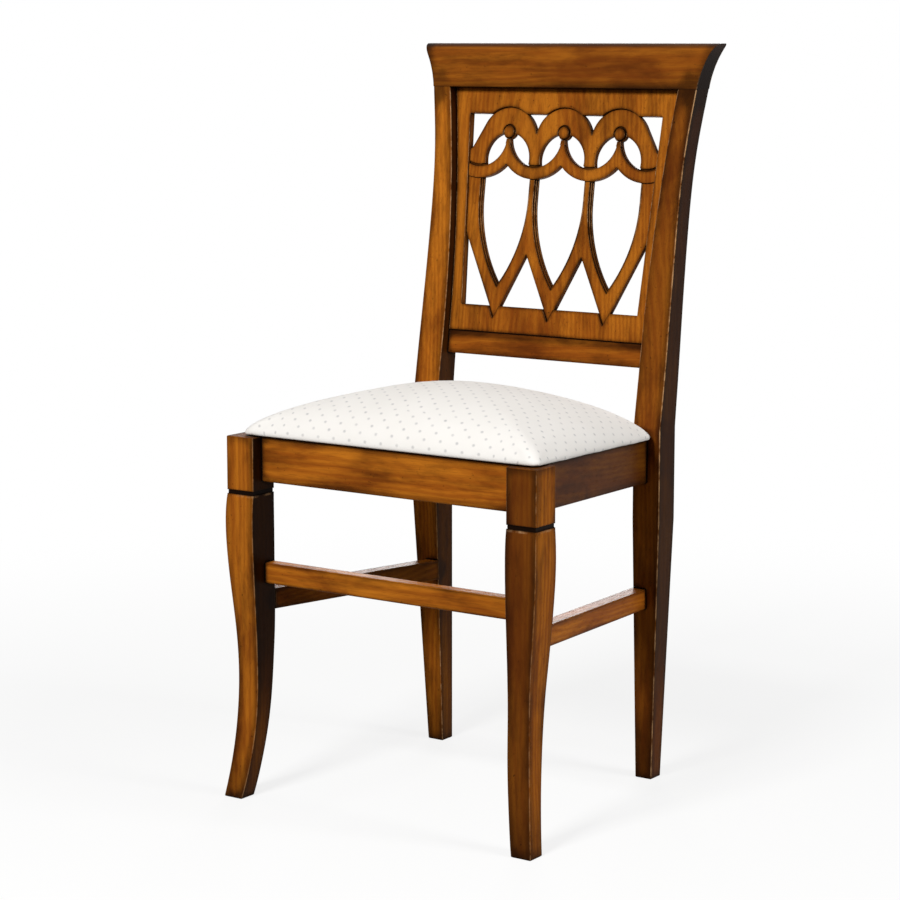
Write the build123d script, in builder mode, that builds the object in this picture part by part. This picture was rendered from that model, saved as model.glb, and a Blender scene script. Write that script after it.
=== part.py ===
from build123d import *
import math
import os

os.makedirs("parts", exist_ok=True)

# Dining chair with a pierced back panel and an upholstered seat pad, in millimetres.
# Depths are measured backwards from the front face of the front leg blocks, heights from the floor.

# Seat frame
seat_height = 450.0
seat_depth = 336.0
seat_fall = 0.043
front_half_width = 224.0
rear_half_width = 187.5
rail_height = 55.0
rail_thickness = 20.0
rail_setback = 17.0
rail_rear_setback = 18.5
rear_rail_setback = 1.0

# Front legs: square block, ring groove, swelling knee, slim ankle and a foot that kicks out
block_size = 41.0
groove_drop = 66.0
groove_height = 5.0
groove_depth = 1.4
knee_drop = 33.0
knee_side_swell = 1.5
knee_front_swell = 2.5
ankle_height = 156.0
ankle_side_inset = 10.5
ankle_front_inset = 4.5
foot_side_kick = 2.0
foot_front_kick = 11.0
foot_width = 27.5
foot_depth = 25.0
inner_turn_height = 140.0
back_turn_height = 232.0
leg_sections = 9

# Rear posts: leg and back upright in one piece
post_width = 38.5
post_depth = 38.0
rear_foot_inset = 15.0
rear_foot_setback = 14.5
post_shoulder_drop = 115.0
waist_inset = 2.5
waist_rise = 260.0
back_rise = 414.0
back_setback = 62.4
back_bow = 1.9
post_top_outset = 9.0
post_top_width = 26.5
post_top_depth = 31.5
post_hollow = 2.4
post_flare_rise = 110.0
post_sections = 7

# Crest rail
crest_height = 55.5
crest_overhang = 22.0
crest_end_hollow = 4.0
crest_front_lean = 5.5
crest_roll_height = 15.0
crest_roll_depth = 16.0
crest_back_lean = 4.5
crest_back_round = 4.0

# Lower back rail and pierced panel
back_rail_height = 30.0
back_rail_thickness = 18.0
back_rail_drop = 1.0
panel_foot = 104.7
panel_recess = 14.0
panel_thickness = 10.0
tongue_depth = 6.0
tongue_thickness = 5.0
tongue_drop = 4.0

# Fretwork, drawn with the compass; rises are from the foot of the panel, drops from the top of its opening
bottom_frame = 34.0
top_frame = 34.6
stile_foot_width = 16.5
stile_top_spread = 11.5
end_rib_width = 8.0
relief_drop = 2.0
ground_drop = 3.4
ledge_drop = 5.4
ledge_width = 3.75
inner_ledge_drop = 7.4
inner_ledge_width = 1.7
boss_drop = 22.5
boss_radius = 7.5
boss_ring = 2.2
arch_overlap = 0.8
arch_drop = 33.0
arch_band = 8.8
arch_inner_drop = 57.5
arch_foot_drop = 45.0
arch_foot_gap = 3.4
arch_spring_angle = 26.0
festoon_drop = 28.0
festoon_gap = 2.5
festoon_band = 16.0
festoon_groove = 2.0
festoon_rebate = 1.0
boss_clear = 16.0
rib_half_width = 7.0
lancet_spring = 173.5
lancet_radius = 189.0
lancet_crotch = 102.5
lancet_tip = 17.5

# Stretchers
stretcher_height = 25.5
stretcher_thickness = 17.0
front_stretcher_top = 294.0
front_stretcher_setback = 20.8
side_stretcher_thickness = 20.0
side_stretcher_top = 258.2
side_stretcher_fall = 0.037
side_stretcher_setback = 21.0
side_stretcher_rear_setback = 19.5

# Joints
tenon_height = 19.0
tenon_thickness = 8.0
tenon_length = 22.0
tenon_edge = 8.0
stretcher_tenon_length = 16.0
back_rail_tenon = 15.0
dowel_diameter = 9.0
dowel_length = 44.0
dowel_spacing = 14.0
dowel_inset = 12.0
joint_clearance = 0.15
shoulder_clearance = 0.3
panel_clearance = 0.5
edge_round = 1.6
small_round = 1.0
foot_chamfer = 1.0

# Corner blocks and screws
brace_height = 24.0
brace_drop = 2.0
brace_long = 64.0
brace_short = 18.0
screw_diameter = 4.0
screw_head_diameter = 8.0
screw_head_height = 2.6
screw_bite = 12.0
screw_seat = 15.0
cross_screw_inset = 38.0
side_screw_inset = 42.0
seat_screw_inset = 24.0
seat_screw_sink = 8.0
seat_screw_bite = 8.0

# Seat pad
pad_front = 13.0
pad_side_inset = 13.0
pad_rear_gap = 2.0
pad_rear_inset = 16.5
pad_corner = 14.0
pad_corner_growth = 0.3
board_thickness = 10.0
board_inset = 9.0
hem_thickness = 1.0
hem_width = 15.0
cover_thickness = 1.4
foam_gap = 0.3
seat_gap = 0.3
# The cover springs from the seat, swells to its widest line and closes over the top on a parabola
pad_tuck = 2.5
pad_widest = 8.0
pad_crown = 69.0
pad_flat = 6.0
pad_steps = 9

# Heights and places that follow from the driving dimensions
groove_top_z = seat_height - groove_drop
groove_bottom_z = groove_top_z - groove_height
knee_height = groove_bottom_z - knee_drop
post_shoulder_height = seat_height - post_shoulder_drop
post_flare_height = seat_height + post_flare_rise
waist_height = seat_height + waist_rise
crest_joint_height = seat_height + back_rise
overall_height = crest_joint_height + crest_height
post_inner_x = rear_half_width - post_width
rear_foot_half_width = rear_half_width - rear_foot_inset
waist_half_width = rear_half_width - waist_inset
post_top_half_width = rear_half_width + post_top_outset
crest_half_width = post_top_half_width + crest_overhang
pad_front_half = front_half_width - pad_side_inset
pad_rear_half = rear_half_width - pad_rear_inset
leg_inner_x = front_half_width - block_size
crest_back_y = seat_depth + back_setback + post_top_depth + crest_back_lean
depth_centre = (crest_back_y - foot_front_kick) / 2
back_angle = math.degrees(math.atan2(back_setback, crest_joint_height - seat_height))
reach = 700.0

# Working planes: local y runs up in the two views, and backwards from the blocks in plan
front_view = Plane(origin=(0, -depth_centre, 0), x_dir=(1, 0, 0), z_dir=(0, -1, 0))
side_view = Plane(origin=(0, -depth_centre, 0), x_dir=(0, 1, 0), z_dir=(1, 0, 0))
plan_view = Plane(origin=(0, -depth_centre, 0))
lean = math.radians(back_angle)
back_normal = Vector(0, math.cos(lean), -math.sin(lean))
back_up = Vector(0, math.sin(lean), math.cos(lean))


def point(x, y, z):
    """A point from its depth behind the front blocks."""
    return Vector(x, y - depth_centre, z)


def level(z):
    """The plan plane at a height over the floor."""
    return plan_view.offset(z)


def back_plane(depth, up=0.0):
    """The leaning plane of the back, a depth behind the line of the posts' front faces; it faces forwards."""
    origin = point(0, seat_depth, seat_height) + back_normal * depth + back_up * up
    return Plane(origin=origin, x_dir=(1, 0, 0), z_dir=back_normal * -1)


def tenon(plane, grow=0.0, height=tenon_height):
    """A round-ended tenon section standing upright on a joint plane."""
    with BuildSketch(plane, mode=Mode.PRIVATE) as section:
        SlotOverall(height + 2 * grow, tenon_thickness + 2 * grow, rotation=90)
    return section.sketch


def joint(plane, direction, length, grow=0.0, height=tenon_height, mode=Mode.ADD):
    """A tenon into a direction, or its mortise with Mode.SUBTRACT; it starts a little before the joint plane."""
    start = Plane(plane.origin - direction * small_round, plane.x_dir, plane.z_dir)
    extrude(tenon(start, grow, height), amount=length + small_round + grow, dir=direction, mode=mode)


def mortise(plane, direction, length, height=tenon_height):
    """The mortise for a tenon, with the joint's clearance all round."""
    joint(plane, direction, length, joint_clearance, height, Mode.SUBTRACT)


def disc(plane, diameter):
    """A round section on a plane, for dowels and screws."""
    with BuildSketch(plane, mode=Mode.PRIVATE) as section:
        Circle(diameter / 2)
    return section.sketch


def finish(piece, name):
    """Name a piece and write it out."""
    piece.part.label = name
    export_step(piece.part, f"parts/{name}.step")
    print(f"{name}: {len(piece.part.solids())} solid, {piece.part.volume / 1000:.1f} cm3")


# Rail and stretcher joint planes; the tenons of the cross rails sit high and those of the side rails low
rail_middle = rail_thickness / 2
high_tenon = tenon_edge + tenon_height / 2
low_tenon = rail_height - tenon_edge - tenon_height / 2
front_rail_y = rail_setback + rail_middle
front_rail_joint = Plane(
    origin=point(leg_inner_x, front_rail_y, seat_height - high_tenon), x_dir=(0, 1, 0), z_dir=(1, 0, 0)
)
side_front_x = front_half_width - rail_setback - rail_middle
side_rear_x = rear_half_width - rail_rear_setback - rail_middle
side_run = seat_depth - block_size
side_rear_top = seat_height - seat_fall * side_run
side_axis = (point(side_rear_x, seat_depth, side_rear_top) - point(side_front_x, block_size, seat_height)).normalized()
side_front_joint = Plane(
    origin=point(side_front_x, block_size, seat_height - low_tenon), x_dir=(-1, 0, 0), z_dir=(0, 1, 0)
)
side_rear_joint = Plane(
    origin=point(side_rear_x, seat_depth, side_rear_top - low_tenon), x_dir=(-1, 0, 0), z_dir=(0, 1, 0)
)
rear_rail_y = seat_depth + rear_rail_setback + rail_middle
rear_rail_top = side_rear_top
rear_rail_joint = Plane(
    origin=point(post_inner_x, rear_rail_y, rear_rail_top - high_tenon), x_dir=(0, 1, 0), z_dir=(1, 0, 0)
)
stretcher_middle = stretcher_height / 2
front_stretcher_y = front_stretcher_setback + stretcher_thickness / 2
front_stretcher_joint = Plane(
    origin=point(leg_inner_x, front_stretcher_y, front_stretcher_top - stretcher_middle),
    x_dir=(0, 1, 0),
    z_dir=(1, 0, 0),
)
post_taper = math.atan2(rear_foot_setback, post_shoulder_height)
post_face_normal = Vector(0, math.cos(post_taper), math.sin(post_taper))
post_face = Plane(origin=point(0, seat_depth, post_shoulder_height), x_dir=(-1, 0, 0), z_dir=post_face_normal)
stretcher_front_x = front_half_width - side_stretcher_setback - side_stretcher_thickness / 2
stretcher_rear_x = rear_half_width - side_stretcher_rear_setback - side_stretcher_thickness / 2
stretcher_front_z = side_stretcher_top - stretcher_middle
stretcher_rear_z = stretcher_front_z - side_stretcher_fall * side_run
stretcher_start = point(stretcher_front_x, block_size, stretcher_front_z)
stretcher_end = point(stretcher_rear_x, seat_depth, stretcher_rear_z)
stretcher_axis = (stretcher_end - stretcher_start).normalized()
stretcher_reach = (post_face.origin - stretcher_start).dot(post_face_normal) / stretcher_axis.dot(post_face_normal)
stretcher_front_joint = Plane(origin=stretcher_start, x_dir=(-1, 0, 0), z_dir=(0, 1, 0))
stretcher_rear_joint = Plane(
    origin=stretcher_start + stretcher_axis * stretcher_reach, x_dir=(-1, 0, 0), z_dir=post_face_normal
)
back_rail_up = panel_foot - panel_clearance - back_rail_height / 2
back_rail_depth = panel_recess + back_rail_drop + back_rail_thickness / 2
back_rail_origin = back_plane(back_rail_depth, back_rail_up).origin + Vector(post_inner_x, 0, 0)
back_rail_joint = Plane(origin=back_rail_origin, x_dir=back_normal, z_dir=(1, 0, 0))
panel_face = back_plane(panel_recess, panel_foot)
tongue_face = back_plane(panel_recess + tongue_drop, panel_foot)
panel_height = (crest_joint_height - panel_face.origin.Z) / math.cos(lean)
crest_front_y = seat_depth + back_setback
post_top_middle = point(post_top_half_width - dowel_inset, crest_front_y + post_top_depth / 2, crest_joint_height)
dowel_planes = [
    Plane(origin=post_top_middle + Vector(0, side * dowel_spacing / 2, 0), x_dir=(1, 0, 0), z_dir=back_up)
    for side in (-1, 1)
]


def ease(low, high, share):
    """Smooth step from low to high, level at both ends."""
    return low + (high - low) * (1 - math.cos(math.pi * share)) / 2


def leg_swing(z, swell, inset, kick):
    """How far a front leg's show face stands proud of its block at a height: knee, ankle, kicked foot."""
    if z > knee_height:
        return ease(swell, 0.0, (z - knee_height) / (groove_bottom_z - knee_height))
    if z > ankle_height:
        return ease(-inset, swell, (z - ankle_height) / (knee_height - ankle_height))
    return -inset + (kick + inset) * ((ankle_height - z) / ankle_height) ** 2


def leg_section(z):
    """Rounded section of the right front leg at a height."""
    outer = front_half_width + leg_swing(z, knee_side_swell, ankle_side_inset, foot_side_kick)
    front = -leg_swing(z, knee_front_swell, ankle_front_inset, foot_front_kick)
    inner_turn = max(inner_turn_height - z, 0.0) / inner_turn_height
    back_turn = max(back_turn_height - z, 0.0) / back_turn_height
    inner = leg_inner_x + (front_half_width + foot_side_kick - foot_width - leg_inner_x) * inner_turn**2
    back = block_size - (block_size + foot_front_kick - foot_depth) * back_turn**1.5
    return rounded_section(z, inner, outer, front, back)


def rounded_section(z, inner, outer, front, back):
    """Level section between two widths and two depths, with rounded arrises."""
    with BuildSketch(level(z), mode=Mode.PRIVATE) as section:
        with Locations(((inner + outer) / 2, (front + back) / 2)):
            RectangleRounded(outer - inner, back - front, edge_round)
    return section.sketch


def post_share(z):
    """Share of the way from the seat to the crest joint."""
    return (z - seat_height) / (crest_joint_height - seat_height)


def post_inner(z):
    """Inner face of the right post: upright, then flaring towards the crest."""
    rise = max(z - post_flare_height, 0.0) / (crest_joint_height - post_flare_height)
    return post_inner_x + (post_top_half_width - post_top_width - post_inner_x) * rise**2


def post_outer(z):
    """Outer face of the right post: in to the waist, then out to the crest."""
    if z < waist_height:
        return ease(rear_half_width, waist_half_width, (z - seat_height) / (waist_height - seat_height))
    rise = (z - waist_height) / (crest_joint_height - waist_height)
    return waist_half_width + (post_top_half_width - waist_half_width) * rise**2


def post_section(z):
    """Rounded section of the right post at a height above the seat."""
    share = post_share(z)
    sag = 4 * share * (1 - share)
    front = seat_depth + back_setback * share + back_bow * sag
    foot_back = seat_depth + post_depth
    top_back = seat_depth + back_setback + post_top_depth
    back = foot_back + (top_back - foot_back) * share - post_hollow * sag
    return rounded_section(z, post_inner(z), post_outer(z), front, back)


def panel_outline(plane, side_gap, foot, top):
    """Panel outline between the posts' inner faces, standing side_gap inside them."""

    def edge(h):
        """Half width of the panel at a height over its foot."""
        return post_inner(plane.origin.Z + h * math.cos(lean)) - side_gap

    flare = (post_flare_height - plane.origin.Z) / math.cos(lean)
    middle = (flare + top) / 2
    with BuildSketch(plane, mode=Mode.PRIVATE) as outline:
        with BuildLine():
            right = ThreePointArc((edge(flare), flare), (edge(middle), middle), (edge(top), top))
            Line(right @ 1, (-edge(top), top))
            left = ThreePointArc((-edge(top), top), (-edge(middle), middle), (-edge(flare), flare))
            Polyline(left @ 1, (-edge(foot), foot), (edge(foot), foot), right @ 0)
        make_face()
    return outline.sketch


# Front legs
with BuildPart() as front_leg_right:
    shaft_step = knee_height / leg_sections
    shaft_heights = [shaft_step * step for step in range(leg_sections + 1)] + [groove_bottom_z]
    loft([leg_section(z) for z in shaft_heights])
    chamfer(front_leg_right.faces().sort_by(Axis.Z)[0].edges(), foot_chamfer)
    block_middle = (front_half_width - block_size / 2, block_size / 2)
    with BuildSketch(level(groove_bottom_z)):
        with Locations(block_middle):
            Rectangle(block_size - 2 * groove_depth, block_size - 2 * groove_depth)
    extrude(amount=groove_height)
    extrude(
        rounded_section(groove_top_z, leg_inner_x, front_half_width, 0, block_size), amount=groove_drop
    )
    chamfer(front_leg_right.faces().sort_by(Axis.Z)[-1].edges(), small_round)
    mortise(front_rail_joint, front_rail_joint.z_dir, tenon_length)
    mortise(front_stretcher_joint, front_stretcher_joint.z_dir, stretcher_tenon_length)
    mortise(side_front_joint, side_axis * -1, tenon_length)
    mortise(stretcher_front_joint, stretcher_axis * -1, stretcher_tenon_length)
finish(front_leg_right, "front_leg_right")

with BuildPart() as front_leg_left:
    mirror(front_leg_right.part, about=Plane.YZ)
finish(front_leg_left, "front_leg_left")

# Rear posts, with the grooves for the panel and the mortises for three rails and a stretcher
with BuildPart() as rear_post_right:
    back_foot = seat_depth + post_depth
    lower_sections = [
        rounded_section(0, post_inner_x, rear_foot_half_width, seat_depth + rear_foot_setback, back_foot),
        rounded_section(post_shoulder_height, post_inner_x, rear_half_width, seat_depth, back_foot),
        rounded_section(seat_height, post_inner_x, rear_half_width, seat_depth, back_foot),
    ]
    loft(lower_sections, ruled=True)
    upper_step = (crest_joint_height - seat_height) / post_sections
    loft([post_section(seat_height + upper_step * step) for step in range(post_sections + 1)])
    chamfer(rear_post_right.faces().sort_by(Axis.Z)[0].edges(), foot_chamfer)
    mortise(rear_rail_joint, rear_rail_joint.z_dir, tenon_length)
    mortise(back_rail_joint, back_rail_joint.z_dir, tenon_length, back_rail_tenon)
    mortise(side_rear_joint, side_axis, tenon_length)
    mortise(stretcher_rear_joint, stretcher_axis, stretcher_tenon_length)
    extrude(
        panel_outline(tongue_face, -tongue_depth - joint_clearance, -tongue_depth, panel_height + tongue_depth),
        amount=-tongue_thickness - joint_clearance,
        mode=Mode.SUBTRACT,
    )
    for dowel_plane in dowel_planes:
        hole = disc(dowel_plane, dowel_diameter + 2 * joint_clearance)
        extrude(hole, amount=dowel_length / 2 + joint_clearance, both=True, mode=Mode.SUBTRACT)
finish(rear_post_right, "rear_post_right")

with BuildPart() as rear_post_left:
    mirror(rear_post_right.part, about=Plane.YZ)
finish(rear_post_left, "rear_post_left")

# Crest rail, rolled back at the top and flaring at the ends
with BuildPart() as crest_rail:
    with BuildSketch(side_view):
        with BuildLine():
            lean_face = Line(
                (crest_front_y, crest_joint_height),
                (crest_front_y + crest_front_lean, overall_height - crest_roll_height),
            )
            roll_end = (crest_front_y + crest_front_lean + crest_roll_depth, overall_height)
            roll = TangentArc(lean_face @ 1, roll_end, tangent=lean_face % 1)
            top = Line(roll @ 1, (crest_back_y - crest_back_round, overall_height))
            back_top = (crest_back_y, overall_height - crest_back_round)
            back_edge = TangentArc(top @ 1, back_top, tangent=(1, 0))
            Polyline(back_edge @ 1, (crest_front_y + post_top_depth, crest_joint_height), lean_face @ 0)
        make_face()
    extrude(amount=reach, both=True)
    with BuildSketch(front_view):
        with BuildLine():
            middle_x = (post_top_half_width + crest_half_width) / 2 - crest_end_hollow
            middle_z = (crest_joint_height + overall_height) / 2
            right_end = ThreePointArc(
                (post_top_half_width, crest_joint_height), (middle_x, middle_z), (crest_half_width, overall_height)
            )
            Line(right_end @ 1, (-crest_half_width, overall_height))
            left_end = ThreePointArc(
                (-crest_half_width, overall_height), (-middle_x, middle_z), (-post_top_half_width, crest_joint_height)
            )
            Line(left_end @ 1, right_end @ 0)
        make_face()
    extrude(amount=reach, both=True, mode=Mode.INTERSECT)
    for dowel_plane in dowel_planes:
        hole = disc(dowel_plane, dowel_diameter + 2 * joint_clearance)
        depth = dowel_length / 2 + joint_clearance
        extrude(hole, amount=depth, both=True, mode=Mode.SUBTRACT)
        extrude(hole.mirror(Plane.YZ), amount=depth, dir=back_up, both=True, mode=Mode.SUBTRACT)
    extrude(
        panel_outline(tongue_face, -tongue_depth - joint_clearance, 0, panel_height + tongue_depth),
        amount=-tongue_thickness - joint_clearance,
        mode=Mode.SUBTRACT,
    )
finish(crest_rail, "crest_rail")

with BuildPart() as crest_dowels:
    for dowel_plane in dowel_planes:
        extrude(disc(dowel_plane, dowel_diameter), amount=dowel_length / 2, both=True)
    mirror(about=Plane.YZ)
finish(crest_dowels, "crest_dowels")

# Lower back rail, leaning with the panel
with BuildPart() as lower_back_rail:
    rail_front = back_plane(panel_recess + back_rail_drop, back_rail_up)
    with BuildSketch(rail_front):
        with Locations(((post_inner_x - shoulder_clearance) / 2, 0)):
            Rectangle(post_inner_x - shoulder_clearance, back_rail_height)
    extrude(amount=-back_rail_thickness)
    chamfer(lower_back_rail.edges().filter_by(Axis.X), small_round)
    joint(back_rail_joint, back_rail_joint.z_dir, tenon_length, height=back_rail_tenon)
    mirror(about=Plane.YZ)
    extrude(
        panel_outline(tongue_face, 0, -tongue_depth - joint_clearance, panel_height),
        amount=-tongue_thickness - joint_clearance,
        mode=Mode.SUBTRACT,
    )
finish(lower_back_rail, "lower_back_rail")

# Pierced back panel
opening_bottom = bottom_frame
opening_top = panel_height - top_frame
opening_bottom_half = post_inner_x - stile_foot_width
opening_top_half = opening_bottom_half + stile_top_spread
bay_pitch = (opening_bottom_half - end_rib_width) * 2 / 3
boss_height = opening_top - boss_drop
arch_centre = opening_top - arch_drop
arch_radius = bay_pitch / 2 + arch_overlap
arch_inner_centre = opening_top - arch_inner_drop
arch_inner_radius = arch_radius - arch_band
arch_foot_height = opening_top - arch_foot_drop
festoon_centre = opening_top - festoon_drop
festoon_inner_radius = bay_pitch / 2 - festoon_gap
festoon_outer_radius = festoon_inner_radius + festoon_band
lancet_half_width = bay_pitch / 2 - rib_half_width
bays = (-bay_pitch, 0.0, bay_pitch)
stems = (-1.5 * bay_pitch, -0.5 * bay_pitch, 0.5 * bay_pitch, 1.5 * bay_pitch)
rib_slope = (bay_pitch / 2) / (lancet_crotch - lancet_tip)
rib_foot = rib_slope * (opening_bottom - lancet_tip)


def opening_half(h):
    """Half width of the framed opening at a height over the panel's foot."""
    share = (h - opening_bottom) / (opening_top - opening_bottom)
    return opening_bottom_half + (opening_top_half - opening_bottom_half) * share


def polygon(*corners):
    """A face through corners on the panel's plane."""
    with BuildSketch(panel_face, mode=Mode.PRIVATE) as region:
        with BuildLine():
            Polyline(*corners, close=True)
        make_face()
    return region.sketch


def circles(xs, h, radius):
    """Equal circles in a row on the panel's plane."""
    with BuildSketch(panel_face, mode=Mode.PRIVATE) as region:
        with Locations(*[(x, h) for x in xs]):
            Circle(radius)
    return region.sketch


def lancet(bay, grow):
    """Pointed opening between two ribs: upright under the festoons, two long arcs down to a point."""
    half = lancet_half_width + grow
    radius = lancet_radius + grow
    drop = math.sqrt(radius**2 - (radius - half) ** 2)
    bulge = math.sqrt(radius**2 - (drop / 2) ** 2) - radius + half
    point_below = lancet_spring - drop
    with BuildSketch(panel_face, mode=Mode.PRIVATE) as region:
        with BuildLine():
            right = ThreePointArc(
                (bay + half, lancet_spring), (bay + bulge, lancet_spring - drop / 2), (bay, point_below)
            )
            left = ThreePointArc(
                (bay, point_below), (bay - bulge, lancet_spring - drop / 2), (bay - half, lancet_spring)
            )
            Polyline(left @ 1, (bay - half, festoon_centre), (bay + half, festoon_centre), right @ 0)
        make_face()
    return region.sketch - circles(stems, festoon_centre, festoon_outer_radius)


opening = polygon(
    (-opening_half(opening_bottom), opening_bottom),
    (opening_half(opening_bottom), opening_bottom),
    (opening_half(opening_top), opening_top),
    (-opening_half(opening_top), opening_top),
)
crowns = circles(bays, arch_centre, arch_radius)
bosses = circles(bays, boss_height, boss_radius)
boss_rings = circles(bays, boss_height, boss_radius + boss_ring)
above_bosses = polygon(
    (-reach, boss_height), (reach, boss_height), (reach, boss_height + reach), (-reach, boss_height + reach)
)
festoons = circles(stems, festoon_centre, festoon_outer_radius) - circles(
    stems, festoon_centre, festoon_inner_radius
)
festoons = festoons - above_bosses
festoon_grooves = circles(stems, festoon_centre, festoon_inner_radius + festoon_rebate) - circles(
    stems, festoon_centre, festoon_inner_radius - festoon_groove
)
festoon_grooves = (festoon_grooves & opening) - above_bosses - circles(bays, boss_height, boss_clear)
rib_tips = [
    polygon((bay - rib_foot, opening_bottom), (bay, lancet_tip), (bay + rib_foot, opening_bottom)) for bay in bays
]
almonds = circles(bays, arch_inner_centre, arch_inner_radius) & circles(
    stems, festoon_centre, festoon_inner_radius
)
almonds = almonds - boss_rings
foot_triangles = [
    polygon(
        (stem - bay_pitch / 2 + rib_foot, opening_bottom),
        (stem + bay_pitch / 2 - rib_foot, opening_bottom),
        (stem, lancet_crotch),
    )
    for stem in stems[1:3]
]
stile_slope = (opening_top_half - opening_bottom_half) / (opening_top - opening_bottom)
rib_meet = (opening_bottom_half - bay_pitch - rib_foot) / (rib_slope - stile_slope) + opening_bottom
spandrels = [
    polygon(
        (stem - bay_pitch / 2, arch_centre),
        (stem + bay_pitch / 2, arch_centre),
        (stem + bay_pitch / 2, opening_top),
        (stem - bay_pitch / 2, opening_top),
    )
    - crowns
    for stem in stems[1:3]
]
knee_x = bay_pitch + arch_radius * math.cos(math.radians(arch_spring_angle))
knee_h = arch_centre + arch_radius * math.sin(math.radians(arch_spring_angle))
end_holes = []
for side in (-1, 1):
    end_holes.append(
        polygon(
            (side * (bay_pitch + rib_foot), opening_bottom),
            (side * opening_bottom_half, opening_bottom),
            (side * opening_half(rib_meet), rib_meet),
        )
    )
    end_holes.append(
        polygon(
            (side * bay_pitch, opening_top),
            (side * opening_top_half, opening_top),
            (side * opening_half(arch_foot_height), arch_foot_height),
            (side * (opening_half(arch_foot_height) - arch_foot_gap), arch_foot_height),
            (side * knee_x, knee_h),
            (side * bay_pitch, knee_h),
        )
        - crowns
    )

with BuildPart() as back_splat:
    extrude(panel_outline(panel_face, panel_clearance, 0, panel_height + tongue_depth), amount=-panel_thickness)
    split(bisect_by=level(crest_joint_height - panel_clearance), keep=Keep.BOTTOM)
    tongue_gap = tongue_depth - panel_clearance
    extrude(
        panel_outline(tongue_face, -tongue_gap, -tongue_gap, panel_height + tongue_gap),
        amount=-tongue_thickness + joint_clearance,
    )
    carved = opening + crowns + rib_tips
    extrude(carved, amount=-relief_drop, mode=Mode.SUBTRACT)
    extrude(carved - festoons - bosses, amount=-ground_drop, mode=Mode.SUBTRACT)
    extrude(boss_rings - bosses, amount=-ledge_drop, mode=Mode.SUBTRACT)
    extrude(festoon_grooves, amount=-ledge_drop, mode=Mode.SUBTRACT)
    for bay in bays:
        extrude(lancet(bay, ledge_width), amount=-ledge_drop, mode=Mode.SUBTRACT)
        extrude(lancet(bay, inner_ledge_width), amount=-inner_ledge_drop, mode=Mode.SUBTRACT)
        extrude(lancet(bay, 0.0), amount=-panel_thickness, mode=Mode.SUBTRACT)
    extrude(almonds, amount=-panel_thickness, mode=Mode.SUBTRACT)
    for hole in foot_triangles + spandrels + end_holes:
        extrude(hole, amount=-panel_thickness, mode=Mode.SUBTRACT)
finish(back_splat, "back_splat")

# Seat rails, each drawn with its joints on the right and mirrored
rear_cross_face = seat_depth + rear_rail_setback
front_cross_face = rail_setback + rail_thickness
seat_tilt = math.atan(seat_fall)
seat_plane = Plane(
    origin=point(0, block_size, seat_height), x_dir=(1, 0, 0), z_dir=(0, math.sin(seat_tilt), math.cos(seat_tilt))
)


def side_inner(y):
    """Inner face of the right side rail at a depth."""
    share = (y - block_size) / side_run
    return side_front_x - rail_middle + (side_rear_x - side_front_x) * share


def cross_screw(corner_x, cross_face, step, z):
    """Plane on a cross rail's inner face where a corner block is screwed to it, facing out of the rail."""
    return Plane(
        origin=point(corner_x - cross_screw_inset, cross_face, z), x_dir=(1, 0, 0), z_dir=(0, step, 0)
    )


def side_screw(cross_face, step, z):
    """Plane on the side rail's inner face where a corner block is screwed to it, facing out of the rail."""
    y = cross_face + step * side_screw_inset
    along = Vector(side_rear_x - side_front_x, side_run, 0).normalized()
    return Plane(origin=point(side_inner(y), y, z), x_dir=along, z_dir=(-along.Y, along.X, 0))


brace_front_z = seat_height - seat_fall * brace_long - brace_drop - brace_height
brace_rear_z = side_rear_top - brace_drop - brace_height
front_cross_screw = cross_screw(leg_inner_x, front_cross_face, 1, brace_front_z + brace_height / 2)
front_side_screw = side_screw(front_cross_face, 1, brace_front_z + brace_height / 2)
rear_cross_screw = cross_screw(post_inner_x, rear_cross_face, -1, brace_rear_z + brace_height / 2)
rear_side_screw = side_screw(rear_cross_face, -1, brace_rear_z + brace_height / 2)
pilot = screw_diameter + 2 * joint_clearance
bore = screw_head_diameter + 4 * joint_clearance

with BuildPart() as front_seat_rail:
    with BuildSketch(level(seat_height - rail_height)):
        with Locations((leg_inner_x / 2, front_rail_y)):
            Rectangle(leg_inner_x, rail_thickness)
    extrude(amount=rail_height)
    chamfer(front_seat_rail.edges().filter_by(Axis.X), small_round)
    joint(front_rail_joint, front_rail_joint.z_dir, tenon_length)
    extrude(disc(front_cross_screw, pilot), amount=-screw_bite - joint_clearance, mode=Mode.SUBTRACT)
    mirror(about=Plane.YZ)
finish(front_seat_rail, "front_seat_rail")

with BuildPart() as rear_seat_rail:
    with BuildSketch(level(rear_rail_top - rail_height)):
        with Locations((post_inner_x / 2, rear_rail_y)):
            Rectangle(post_inner_x, rail_thickness)
    extrude(amount=rail_height)
    chamfer(rear_seat_rail.edges().filter_by(Axis.X), small_round)
    joint(rear_rail_joint, rear_rail_joint.z_dir, tenon_length)
    extrude(disc(rear_cross_screw, pilot), amount=-screw_bite - joint_clearance, mode=Mode.SUBTRACT)
    mirror(about=Plane.YZ)
finish(rear_seat_rail, "rear_seat_rail")

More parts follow.
